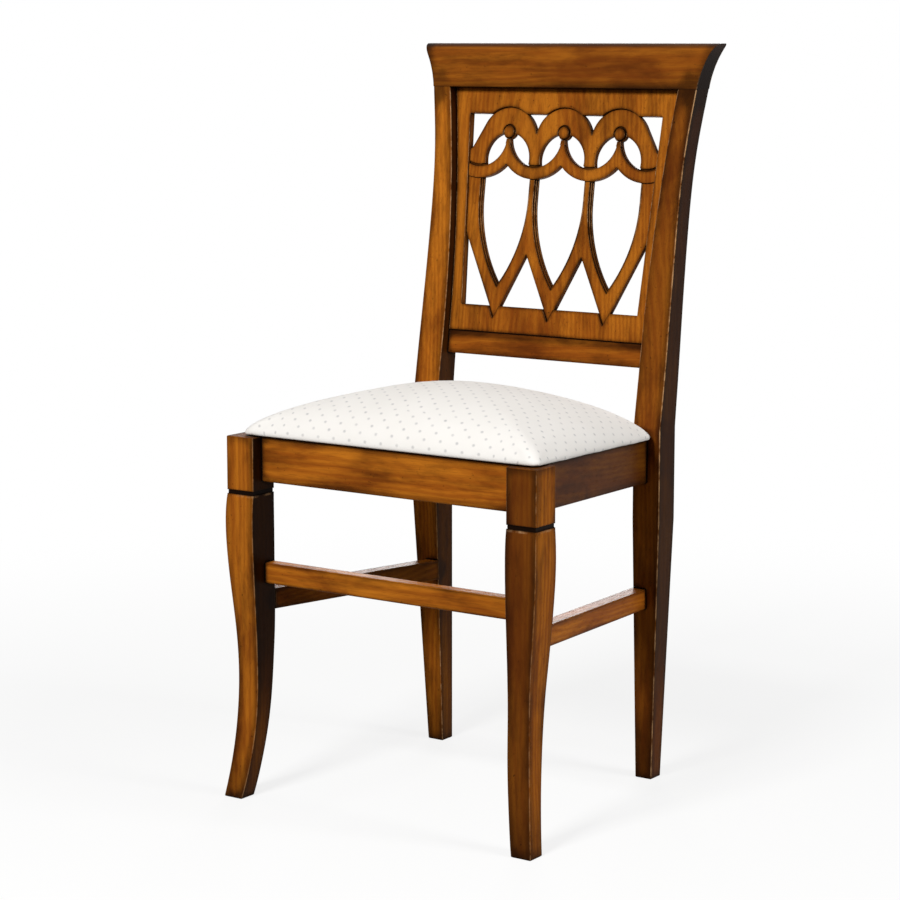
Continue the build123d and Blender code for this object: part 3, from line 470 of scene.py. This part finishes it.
# %% The boards and how each was finished
RING = 0.3819
SIDE_RAIL = dict(along="Y", deep=0.2, outer=0.66, inner=0.6)
SIDE_STRETCHER = dict(along="Y", deep=0.0, inner=0.5, edge=0.008)
BOARDS = {
    "front_leg_left": dict(along="Z", deep=0.14, inner=0.93, top=0.6, rub_and_glint=0.35, ring=RING),
    "front_leg_right": dict(along="Z", deep=0.1, front=0.7, inner=0.93, top=0.6, rub_and_glint=0.3, ring=RING),
    "rear_post_left": dict(along="Z", deep=0.02, outer=0.9, inner=0.8, rub_and_glint=0.7),
    "rear_post_right": dict(along="Z", deep=0.06, front=0.5, outer=0.9, inner=0.8, rub_and_glint=0.8),
    # The splat's full rub share paints highlights on its reeds as well as wear.
    "back_splat": dict(along="Z", deep=0.2, rub_and_glint=1.0, edge=0.006, arris=0.0014, groove=0.0009),
    "crest_rail": dict(along="X", deep=0.42, outer=1.0, top=0.8, rub_and_glint=0.8),
    "lower_back_rail": dict(along="X", deep=0.16, edge=0.01),
    "front_seat_rail": dict(along="X", deep=0.0),
    "rear_seat_rail": dict(along="X", deep=0.2),
    "front_stretcher": dict(along="X", deep=-0.15, edge=0.006),
    "side_seat_rail_left": SIDE_RAIL,
    "side_seat_rail_right": SIDE_RAIL,
    "side_stretcher_left": SIDE_STRETCHER,
    "side_stretcher_right": SIDE_STRETCHER,
}
for order, (name, finish) in enumerate(BOARDS.items()):
    spot = (0.37 * order, 0.23 * order, 0.71 * order)
    dress(nodes[name], stained_wood(name, spot, **finish))
print("stained boards:", len(BOARDS))

# %% [markdown]
# ## Parts nobody sees from above
# Corner blocks and dowels are raw pale wood, the seat board is plywood, and the screws are zinc plated.
# The woods use the same grain group with plainer colours.

# %% Raw wood, plywood and zinc
PALE_LOW = srgb(178, 138, 92)
PALE_HIGH = srgb(214, 180, 134)
PLY_LOW = srgb(170, 128, 84)
PLY_HIGH = srgb(204, 166, 118)
ZINC_LOW = srgb(150, 150, 148)
ZINC_HIGH = srgb(196, 196, 190)


def raw_wood(piece, along, spot, low, high):
    """Unfinished pale wood for a piece, dry and matt."""
    material, tree, shader = new_material("raw_" + piece)
    place = add(tree, "TexCoord").outputs["Object"]
    board = board_figure(tree, place, piece, along, spot)
    streak = board.outputs["Streak"]
    colour = blend(tree, steps(tree, board.outputs["Tone"], 0.25, 0.75), low, high)
    colour = wash(tree, colour, low, board.outputs["Pores"], 0.4)
    tree.links.new(colour, shader.inputs["Base Color"])
    bump = add(tree, "Bump", None, Strength=0.2, Distance=0.0004, Height=streak)
    tree.links.new(bump.outputs["Normal"], shader.inputs["Normal"])
    tree.links.new(sums(tree, "MULTIPLY_ADD", streak, 0.2, 0.62), shader.inputs["Roughness"])
    return material


def zinc_plate(name):
    """Zinc plated steel: a cool grey with cloudy crystals."""
    material, tree, shader = new_material(name)
    crystal = noise(tree, add(tree, "TexCoord").outputs["Object"], 900.0, 3.0)
    tree.links.new(blend(tree, crystal, ZINC_LOW, ZINC_HIGH), shader.inputs["Base Color"])
    tree.links.new(sums(tree, "MULTIPLY_ADD", crystal, 0.25, 0.25), shader.inputs["Roughness"])
    shader.inputs["Metallic"].default_value = 1.0
    return material


for order, corner in enumerate(("front_left", "front_right", "rear_left", "rear_right")):
    block = "corner_block_" + corner
    dress(nodes[block], raw_wood(block, "X", (0.2 * order, 0.4, 0.1), PALE_LOW, PALE_HIGH))
dress(nodes["crest_dowels"], raw_wood("crest_dowels", "Z", (0.5, 0.1, 0.3), PALE_LOW, PALE_HIGH))
dress(nodes["seat_board"], raw_wood("seat_board", "Y", (0.9, 0.2, 0.6), PLY_LOW, PLY_HIGH))
screw_zinc = zinc_plate("screw_zinc")
for screws in ("corner_block_screws", "seat_fixing_screws"):
    dress(nodes[screws], screw_zinc)
print("materials so far:", len(bpy.data.materials))

# %% [markdown]
# ## The outline of the pad
# A stuffed pad covers the seat board from the front rail to the posts. From above it is a trapezoid with
# rounded corners, which could be drawn as a curve; worked out as an array it is ready for the surface that
# follows. Between the posts its rear edge bulges back over the rear rail, as stuffing does where it has room.

# %% Pad outline
PAD_FRONT = 0.008
PAD_REAR = 0.336
PAD_FRONT_HALF = 0.216
PAD_REAR_HALF = 0.176
PAD_SHIFT = 0.004
PAD_CORNER = 0.012
PAD_MIDDLE = np.array([PAD_SHIFT, (PAD_FRONT + PAD_REAR) / 2])
POST_INNER = 0.147
POST_EASE = 0.020
REAR_BULGE = 0.0085
ARC_POINTS = 14
EDGE_POINTS = 22


def unit(rows):
    """Each row of an array divided by its length."""
    return rows / np.linalg.norm(rows, axis=1, keepdims=True)


def pad_rim():
    """Rounded trapezoid: four arcs about the inset corners, joined by straight runs, as an array of (x, y).
    The rear run bulges between the posts until it covers the rear rail's edge, in a smooth step off each
    post."""
    corners = np.array(
        [
            (PAD_SHIFT - PAD_FRONT_HALF, PAD_FRONT),
            (PAD_SHIFT + PAD_FRONT_HALF, PAD_FRONT),
            (PAD_SHIFT + PAD_REAR_HALF, PAD_REAR),
            (PAD_SHIFT - PAD_REAR_HALF, PAD_REAR),
        ]
    )
    back = unit(np.roll(corners, 1, axis=0) - corners)
    ahead = unit(np.roll(corners, -1, axis=0) - corners)
    half = np.arccos(np.sum(back * ahead, axis=1)) / 2
    centre = corners + unit(back + ahead) * (PAD_CORNER / np.sin(half))[:, None]
    start = corners + back * (PAD_CORNER / np.tan(half))[:, None] - centre
    first = np.arctan2(start[:, 1], start[:, 0])
    sweep = np.pi - 2 * half
    angle = first[:, None] + sweep[:, None] * np.linspace(0, 1, ARC_POINTS)
    arcs = centre[:, None, :] + PAD_CORNER * np.stack([np.cos(angle), np.sin(angle)], axis=-1)
    run = np.linspace(0, 1, EDGE_POINTS + 2)[1:-1][None, :, None]
    edges = arcs[:, -1:, :] * (1 - run) + np.roll(arcs, -1, axis=0)[:, :1, :] * run
    rim = np.concatenate([arcs, edges], axis=1).reshape(-1, 2)
    between = np.clip((POST_INNER - np.abs(rim[:, 0])) / POST_EASE, 0, 1)
    bulge = REAR_BULGE * between**2 * (3 - 2 * between)
    rim[:, 1] += np.where(rim[:, 1] > PAD_REAR - 1e-6, bulge, 0)
    return rim


print("pad outline:", len(pad_rim()), "points")

# %% [markdown]
# ## The pad as a surface
# The cover is stapled under a board, comes round the edge, and closes over the foam in a low dome. Seen as a
# surface of two parameters, one runs around the outline and the other from the middle of the top out to the
# edge, round it and under to the hem. Nearer the middle the outline melts into an ellipse, so that no ridges
# run up from the corners.

# %% Pad surface
DEPTH_CENTRE = 0.2117
SEAT_HEIGHT = 0.450
BLOCK_SIZE = 0.041
SEAT_FALL = 0.043
PAD_GAP = 0.0003
PAD_WIDEST = 0.003
PAD_CROWN = 0.071
PAD_TUCK = 0.001
PAD_HEM = 0.015
HEM_RISE = 0.006
MELT_POWER = 1.2
FULLNESS = 0.66
FIRST_RING = 0.03
DOME_RINGS = 44
SIDE_RINGS = 7


def seat_slope(points):
    """Lay heights over the pad's base onto the sloping seat, z = seat height - fall * depth, and centre the
    depth."""
    placed = points.copy()
    placed[..., 2] += SEAT_HEIGHT + PAD_GAP - SEAT_FALL * (points[..., 1] - BLOCK_SIZE)
    placed[..., 1] -= DEPTH_CENTRE
    return placed


def with_height(flat, height):
    """Join an array of (x, y) rings with a height for each ring."""
    return np.concatenate([flat, np.broadcast_to(height, (*flat.shape[:2], 1))], axis=-1)


def pad_rings(shrink):
    """Rings from the middle of the top to the hem. On the dome, at a share q of the way out, the ring is
    q times a blend of ellipse and rim, and its height over the widest line falls from the crown as
    (1 - q squared) ** fullness, which leaves the edge full. Below the widest line the ring draws in by
    tuck * s squared, and the hem turns flat under the board."""
    rim = pad_rim()
    out = rim - PAD_MIDDLE
    inward = -unit(out)
    half = np.array([(PAD_FRONT_HALF + PAD_REAR_HALF) / 2, (PAD_REAR - PAD_FRONT) / 2])
    turn = np.arctan2(out[:, 1] / half[1], out[:, 0] / half[0])
    ellipse = np.stack([np.cos(turn), np.sin(turn)], axis=1) * half
    q = np.sin(np.linspace(FIRST_RING, np.pi / 2, DOME_RINGS))[:, None, None]
    melt = q**MELT_POWER
    dome = PAD_MIDDLE + q * ((1 - melt) * ellipse + melt * out) + inward * shrink * q
    swell = (1 - q**2) ** FULLNESS
    dome_height = PAD_WIDEST + (PAD_CROWN - shrink - PAD_WIDEST) * swell
    s = np.linspace(0, 1, SIDE_RINGS + 1)[1:, None, None]
    side = rim + inward * (shrink + PAD_TUCK * s**2)
    side_height = PAD_WIDEST * (1 - s)
    under = np.array([0.4, 1.0, 1.0])[:, None, None]
    hem = rim + inward * (shrink + PAD_TUCK + (PAD_HEM - PAD_TUCK) * under)
    hem_height = np.array([0.0, 0.0, HEM_RISE])[:, None, None]
    parts = ((dome, dome_height), (side, side_height), (hem, hem_height))
    return np.concatenate([with_height(*part) for part in parts], axis=0)


print("pad surface:", pad_rings(0.0).shape[0], "rings")

# %% [markdown]
# ## From rings to a mesh
# Neighbouring rings are joined by quads, and a fan of triangles closes each end. The corner numbers of all
# faces come from one grid of ring and step, so no loop runs over the points.

# %% Pad mesh
START_SMALLER = 0.002


def closed_rings(name, rings):
    """Mesh of rings joined by quads, with a fan to a middle point at each end. Faces point outwards."""
    count, around = rings.shape[:2]
    ends = np.stack([rings[0].mean(axis=0), rings[-1].mean(axis=0)])
    points = np.concatenate([rings.reshape(-1, 3), ends])
    ring, step = np.meshgrid(np.arange(count - 1) * around, np.arange(around), indexing="ij")
    after = (step + 1) % around
    below = ring + around
    quads = np.stack([ring + step, below + step, below + after, ring + after], axis=-1).reshape(-1, 4)
    here = np.arange(around)
    there = (here + 1) % around
    last = (count - 1) * around
    top = np.stack([np.full(around, count * around), here, there], axis=-1)
    bottom = np.stack([np.full(around, count * around + 1), last + there, last + here], axis=-1)
    mesh = bpy.data.meshes.new(name)
    mesh.from_pydata(points.tolist(), [], quads.tolist() + top.tolist() + bottom.tolist())
    mesh.update()
    piece = bpy.data.objects.new(name, mesh)
    bpy.context.scene.collection.objects.link(piece)
    return piece


pad = closed_rings("seat_pad", seat_slope(pad_rings(START_SMALLER)))
print("pad mesh:", len(pad.data.vertices), "points")

# %% [markdown]
# ## Letting the cover settle
# Foam pushes the cover out and the staples hold its edge. That is a job for cloth simulation: an even grid of
# points (voxel remesh), pressure from inside, no gravity, and the hem pinned. Twenty frames are enough. A
# limit on how far a point may travel keeps the pad the size it was drawn.

# %% Cloth settings
SWELL_LIMIT = 0.006
GRID = 0.004
PIN_HEIGHT = 0.003
FRAMES = 20
CLOTH = dict(
    quality=6,
    mass=0.25,
    tension_stiffness=25,
    compression_stiffness=25,
    shear_stiffness=12,
    bending_stiffness=3,
    use_pressure=True,
    uniform_pressure_force=4,
)


def coordinates(mesh):
    """All points of a mesh as an array."""
    flat = np.empty(len(mesh.vertices) * 3)
    mesh.vertices.foreach_get("co", flat)
    return flat.reshape(-1, 3)


def over_seat(points):
    """Height of points over the sloping seat, the opposite of seat_slope."""
    depth = points[:, 1] + DEPTH_CENTRE - BLOCK_SIZE
    return points[:, 2] - SEAT_HEIGHT - PAD_GAP + SEAT_FALL * depth


print("pad points under the pin height:", int(np.sum(over_seat(coordinates(pad.data)) < PIN_HEIGHT)))

# %% [markdown]
# With the hem pinned, the cloth solver runs and its last frame is read back as an array. The solver is then
# taken off again, so the pad that is rendered is a plain mesh with a smoothing modifier.


# %% Inflate and settle
def inflate(piece):
    """Run a piece as pressed cloth with its hem pinned, and give its points in the last frame."""
    pins = piece.vertex_groups.new(name="stapled")
    held = np.nonzero(over_seat(coordinates(piece.data)) < PIN_HEIGHT)[0]
    pins.add(held.tolist(), 1.0, "REPLACE")
    cloth = piece.modifiers.new("cover", "CLOTH")
    for key, value in CLOTH.items():
        setattr(cloth.settings, key, value)
    cloth.settings.vertex_group_mass = "stapled"
    cloth.settings.effector_weights.gravity = 0
    cloth.point_cache.frame_end = FRAMES
    for number in range(1, FRAMES + 1):
        bpy.context.scene.frame_set(number)
    posed = piece.evaluated_get(bpy.context.evaluated_depsgraph_get())
    after = coordinates(posed.data)
    piece.modifiers.remove(cloth)
    piece.vertex_groups.remove(pins)
    return after


def settle(piece):
    """Remesh and inflate a piece, and keep each point's move up to the limit and above the seat."""
    piece.data.remesh_voxel_size = GRID
    piece.data.use_remesh_preserve_volume = True
    bpy.ops.object.voxel_remesh()
    before = coordinates(piece.data)
    move = inflate(piece) - before
    far = np.linalg.norm(move, axis=1, keepdims=True)
    move *= np.minimum(1.0, SWELL_LIMIT / np.maximum(far, 1e-9))
    placed = before + move
    placed[:, 2] += np.maximum(0.0, -over_seat(placed))
    piece.data.vertices.foreach_set("co", placed.ravel())
    piece.data.update()
    bpy.context.scene.frame_set(1)
    print("cover settled by up to", round(float(far.max()) * 1000, 1), "mm")


bpy.context.view_layer.objects.active = pad
pad.select_set(True)
settle(pad)
smooth = pad.modifiers.new("soft", "SUBSURF")
smooth.levels = 1
smooth.render_levels = 1
pad.data.polygons.foreach_set("use_smooth", np.ones(len(pad.data.polygons), dtype=bool))
print("pad faces:", len(pad.data.polygons))

# %% [markdown]
# ## Laying the pattern on the cover
# The dots must follow the cloth round the edge instead of smearing down it. A UV map does that: from above
# each point keeps its place, and below the dome the cloth's own length down the side is added outwards.

# %% Cloth coordinates
FLAT_HALF = np.array([0.15, 0.12])
TINY = 1e-6


def cloth_map(piece):
    """UV in metres: (x, y) plus, going outwards, what the cloth's length down the dome exceeds its reach from
    above. That surplus is read off the front meridian of the drawn surface, by height over the seat."""
    rings = pad_rings(0.0)
    rim = rings[DOME_RINGS]
    front = rings[: DOME_RINGS + SIDE_RINGS, np.argmin(rim[:, 1] + np.abs(rim[:, 0]))]
    step = np.linalg.norm(np.diff(front, axis=0), axis=1)
    reach = np.linalg.norm(np.diff(front[:, :2], axis=0), axis=1)
    surplus = np.concatenate([[0.0], np.cumsum(step - reach)])
    points = coordinates(piece.data)
    extra = np.interp(over_seat(points), front[::-1, 2], surplus[::-1])[:, None]
    out = points[:, :2] - (PAD_MIDDLE - np.array([0.0, DEPTH_CENTRE]))
    beyond = np.sign(out) * np.maximum(np.abs(out) - FLAT_HALF, TINY)
    far = np.linalg.norm(beyond, axis=1, keepdims=True)
    spread = points[:, :2] + beyond / np.maximum(far, TINY) * extra
    corner = np.empty(len(piece.data.loops), dtype=np.int32)
    piece.data.loops.foreach_get("vertex_index", corner)
    layer = piece.data.uv_layers.new(name="cloth")
    layer.data.foreach_set("uv", spread[corner].astype(np.float32).ravel())
    return spread


laid = cloth_map(pad)
print("cloth laid out over", np.round(np.ptp(laid, axis=0), 3), "m")

# %% [markdown]
# ## Dotted ivory cloth
# The cloth is a plain ivory weave with small grey dots in staggered rows. A staggered square grid is a square
# grid turned by 45 degrees, so the UV is turned and cut into cells, and the distance to each cell's middle
# makes a dot. Noise frays the dots and makes some fainter than others, as woven dots are.

# %% Ivory cloth
DOT_PITCH = 0.0163
DOT_WIDE = 0.0028
DOT_TALL = 0.0022
THREAD = 0.0006
IVORY_LOW = srgb(238, 234, 228)
IVORY_HIGH = srgb(246, 243, 238)
DOT_GREY = srgb(164, 162, 164)


def woven_dots(tree, place):
    """Mask of frayed dots on a square grid that is turned by 45 degrees."""
    eighth = math.pi / 4
    turned = add(tree, "Mapping", None, Vector=place, Rotation=(0, 0, eighth)).outputs[0]
    cells = vectors(tree, "SCALE", turned)
    cells.inputs["Scale"].default_value = 1.0 / DOT_PITCH
    inside = vectors(tree, "FRACTION", cells.outputs[0]).outputs[0]
    centred = vectors(tree, "SUBTRACT", inside, (0.5, 0.5, 0.0)).outputs[0]
    level = add(tree, "Mapping", None, Vector=centred, Rotation=(0, 0, -eighth))
    level.inputs["Scale"].default_value = (DOT_PITCH / DOT_WIDE, DOT_PITCH / DOT_TALL, 0.0)
    size = vectors(tree, "LENGTH", level.outputs[0]).outputs["Value"]
    frayed = sums(tree, "MULTIPLY_ADD", noise(tree, place, 1400.0, 1.0), 0.9, size)
    return rest(tree, steps(tree, frayed, 0.7, 1.75))


def plain_weave(tree, place):
    """Height of a plain weave: the product of a wave across and a wave along, each one thread long."""
    parts = add(tree, "SeparateXYZ", None, Vector=place).outputs
    waves = 2 * math.pi / THREAD
    warp = sums(tree, "SINE", sums(tree, "MULTIPLY", parts["X"], waves))
    weft = sums(tree, "SINE", sums(tree, "MULTIPLY", parts["Y"], waves))
    return sums(tree, "MULTIPLY_ADD", sums(tree, "MULTIPLY", warp, weft), 0.5, 0.5)


def ivory_cloth(name):
    """Ivory plain weave with staggered grey dots, slightly fuzzy."""
    material, tree, shader = new_material(name)
    place = add(tree, "UVMap", {"uv_map": "cloth"}).outputs["UV"]
    dot = woven_dots(tree, place)
    weave = plain_weave(tree, place)
    ivory = blend(tree, noise(tree, place, 14.0, 2.0), IVORY_LOW, IVORY_HIGH)
    faint = sums(tree, "MULTIPLY_ADD", noise(tree, place, 60.0, 1.0), 0.6, 0.2)
    tree.links.new(wash(tree, ivory, DOT_GREY, dot, faint), shader.inputs["Base Color"])
    height = sums(tree, "MULTIPLY_ADD", dot, 0.6, weave)
    bump = add(tree, "Bump", None, Strength=0.3, Distance=0.0003, Height=height)
    tree.links.new(bump.outputs["Normal"], shader.inputs["Normal"])
    tree.links.new(sums(tree, "MULTIPLY_ADD", weave, 0.1, 0.82), shader.inputs["Roughness"])
    shader.inputs["Sheen Weight"].default_value = 0.15
    shader.inputs["Sheen Roughness"].default_value = 0.5
    return material


dress(pad, ivory_cloth("ivory_cloth"))
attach(pad, "root")
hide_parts("seat_cover", "seat_foam")
print("pad dressed in", pad.data.materials[0].name)

# %% [markdown]
# ## Studio floor and surround
# The chair stands on a pale floor in a white surround. Both are white only to the camera and in reflections,
# which the Light Path node can tell: other rays meet a grey floor and a dim surround, so the white doesn't
# light the chair. Near the chair some of the floor's own shading is kept, and with it the shadow.

# %% Floor and surround
FLOOR_SIDE = 12.0
FLOOR_GREY = srgb(132, 132, 132)
FLOOR_WHITE = srgb(250, 250, 249)
WHITE_NEAR = 0.4
WHITE_FAR = 1.8
NEAR_GLOW = 0.8
WHITE = (1, 1, 1, 1)


def seen_white(tree):
    """1 for rays from the camera, and for those it sees in reflections or through glass."""
    path = add(tree, "LightPath").outputs
    seen = sums(tree, "MAXIMUM", path["Is Camera Ray"], path["Is Glossy Ray"])
    return sums(tree, "MAXIMUM", seen, path["Is Transmission Ray"])


def studio_floor():
    """A wide floor. The camera sees it pale with the object's shadow, running into white about the object;
    other rays meet a middle grey, so the floor doesn't light the object from below."""
    corners = [(x * FLOOR_SIDE, y * FLOOR_SIDE, 0) for x, y in ((-1, -1), (1, -1), (1, 1), (-1, 1))]
    mesh = bpy.data.meshes.new("studio_floor")
    mesh.from_pydata(corners, [], [(0, 1, 2, 3)])
    floor = bpy.data.objects.new("studio_floor", mesh)
    bpy.context.scene.collection.objects.link(floor)
    material, tree, shader = new_material("pale_floor")
    seen = seen_white(tree)
    tree.links.new(blend(tree, seen, FLOOR_GREY, FLOOR_WHITE), shader.inputs["Base Color"])
    shader.inputs["Roughness"].default_value = 0.9
    shader.inputs["Specular IOR Level"].default_value = 0.0
    away = vectors(tree, "LENGTH", add(tree, "TexCoord").outputs["Object"]).outputs["Value"]
    far = steps(tree, away, WHITE_NEAR, WHITE_FAR)
    glowing = sums(tree, "MULTIPLY_ADD", far, 1 - NEAR_GLOW, NEAR_GLOW)
    glow = add(tree, "Emission", None, Color=WHITE, Strength=1.0)
    both = tree.nodes.new("ShaderNodeMixShader")
    tree.links.new(sums(tree, "MULTIPLY", seen, glowing), both.inputs[0])
    tree.links.new(shader.outputs["BSDF"], both.inputs[1])
    tree.links.new(glow.outputs[0], both.inputs[2])
    output = [box for box in tree.nodes if box.type == "OUTPUT_MATERIAL"][0]
    tree.links.new(both.outputs[0], output.inputs["Surface"])
    dress(floor, material)


def surround(strength):
    """World light: white to the camera and in reflections, and a dimmer soft fill for everything else."""
    world = bpy.data.worlds.new("surround")
    bpy.context.scene.world = world
    world.use_nodes = True
    tree = world.node_tree
    tree.nodes.clear()
    power = sums(tree, "MULTIPLY_ADD", seen_white(tree), 1.0 - strength, strength)
    back = add(tree, "Background", None, Color=WHITE, Strength=power)
    out = tree.nodes.new("ShaderNodeOutputWorld")
    tree.links.new(back.outputs[0], out.inputs["Surface"])


studio_floor()
surround(0.11)
print("floor and surround set")

# %% [markdown]
# ## Lamps and camera
# The key lamp stands in front, high enough for the seat to shade the rear legs. A second one at the right
# lights the right-hand faces, and a weak one behind keeps the back from going black. The lamps are
# hidden from the camera, which stands at the photograph's viewpoint.

# %% Lamps and camera
LAMP_AIM = np.array([0, 0, 0.5])
SENSOR = 36.0
FRAME_PIXELS = 900.0
FOCAL_PIXELS = 2571.7
CAMERA_PLACE = (1.7588, -2.3771 - DEPTH_CENTRE, 0.926)
CAMERA_TURN = math.radians(34.8)
CAMERA_TILT = math.radians(9.1)


def soft_lamp(name, place, size, power):
    """A square area lamp that looks from a place at the chair."""
    light = bpy.data.lights.new(name, "AREA")
    light.size = size
    light.energy = power
    lamp = bpy.data.objects.new(name, light)
    bpy.context.scene.collection.objects.link(lamp)
    lamp.visible_camera = False
    lamp.location = place
    look = LAMP_AIM - np.array(place)
    level = math.hypot(look[0], look[1])
    lamp.rotation_euler = (math.atan2(level, -look[2]), 0, math.atan2(-look[0], look[1]))


def photo_camera():
    """Camera at the photograph's own viewpoint."""
    data = bpy.data.cameras.new("photo_camera")
    data.sensor_width = SENSOR
    data.lens = FOCAL_PIXELS * SENSOR / FRAME_PIXELS
    camera = bpy.data.objects.new("photo_camera", data)
    bpy.context.scene.collection.objects.link(camera)
    camera.location = CAMERA_PLACE
    camera.rotation_euler = (math.pi / 2 - CAMERA_TILT, 0, CAMERA_TURN)
    bpy.context.scene.camera = camera


soft_lamp("key", (0.0, -2.75, 2.4), size=0.8, power=94.0)
soft_lamp("side", (3.0, 0.25, 2.1), size=1.0, power=56.0)
soft_lamp("behind", (-1.6, 2.7, 0.9), size=1.2, power=30.0)
photo_camera()
bpy.context.scene.view_settings.view_transform = "Standard"
print("lamps:", len(bpy.data.lights))
